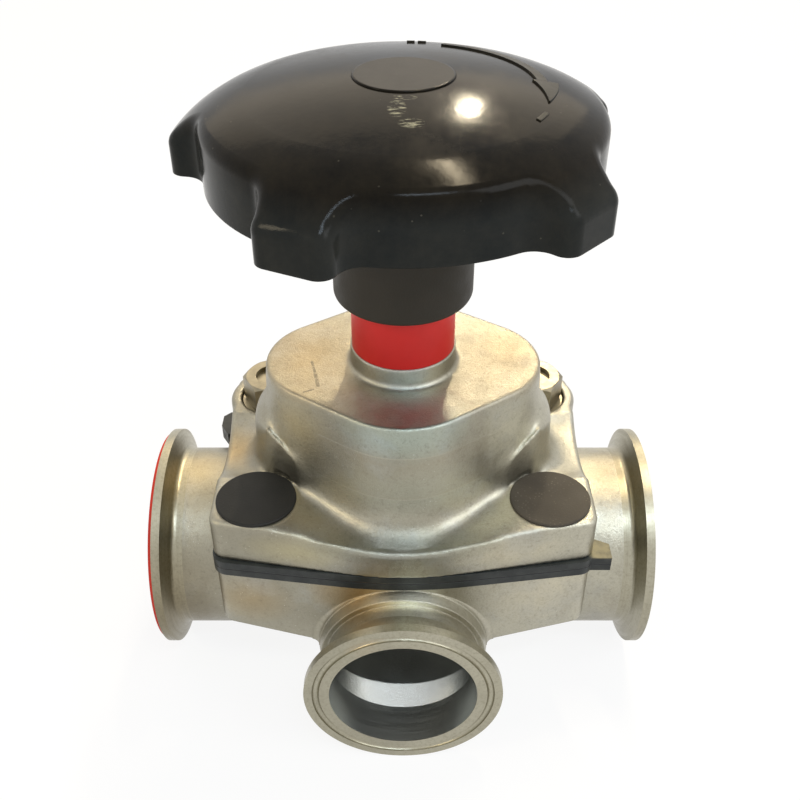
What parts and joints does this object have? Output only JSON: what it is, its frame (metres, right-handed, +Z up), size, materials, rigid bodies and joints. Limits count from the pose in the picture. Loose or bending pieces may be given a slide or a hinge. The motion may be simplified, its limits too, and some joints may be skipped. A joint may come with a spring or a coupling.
{
  "type": "shut-off valve",
  "caption": "Hygienic weir diaphragm valve: straight run with clamp ends, front branch outlet, bolted bonnet and a rising lobed handwheel over a red open indicator",
  "frame": {"origin": "foot of the spindle's axis on the bench on which the run's ferrules rest", "axes": "+Z up along the spindle, +X along the run to the right, -Y out of the branch outlet"},
  "size_m": [0.1692, 0.1333, 0.2097],
  "materials": {
    "cast_steel": "cast, bead blasted",
    "tube_steel": "satin brushed",
    "bolt_steel": "bright machined",
    "spindle_steel": "ground",
    "black_gloss": "gloss moulded",
    "black_matte": "matte moulded",
    "red_plastic": "semi gloss",
    "black_rubber": "moulded",
    "red_rubber": "moulded",
    "bush_brass": "machined"
  },
  "bodies": {
    "valve_body": {"body_casting": "cast_steel", "left_ferrule": "tube_steel", "right_ferrule": "tube_steel", "outlet_ferrule": "tube_steel", "left_clamp_seal": "red_rubber", "diaphragm_rim": "black_rubber", "bonnet": "cast_steel", "spindle_bush": "bush_brass", "spindle_seal": "black_rubber", "indicator_sleeve": "red_plastic", "rear_washers": "bolt_steel", "rear_nuts": "bolt_steel", "rear_studs": "bolt_steel", "front_washers": "bolt_steel", "front_screws": "bolt_steel", "right_bolt_cap": "black_matte", "left_bolt_cap": "black_matte"},
    "carriage": {"compressor": "cast_steel", "compressor_pins": "bolt_steel", "thrust_washer": "bush_brass", "diaphragm_web": "black_rubber", "diaphragm_stud": "bolt_steel"},
    "wheel": {"spindle": "spindle_steel", "handwheel_collar": "black_matte", "handwheel": "black_gloss", "hub_insert": "bolt_steel", "hub_washer": "bolt_steel", "hub_nut": "bolt_steel", "handwheel_medallion": "black_gloss"}
  },
  "joints": [
    {"name": "spindle_lift", "type": "slide", "parent": "valve_body", "child": "carriage", "axis": [0, 0, 1], "range_m": [-0.014, 0], "deforming": ["diaphragm_web"]},
    {"name": "handwheel_turn", "type": "hinge", "parent": "carriage", "child": "wheel", "pos_m": [0, 0, 0.15], "axis": [0, 0, 1], "range_deg": [-1260, 0]}
  ],
  "couplings": [
    {"joint": "spindle_lift", "follows": "handwheel_turn", "m_per_rad": 0.00063662}
  ]
}
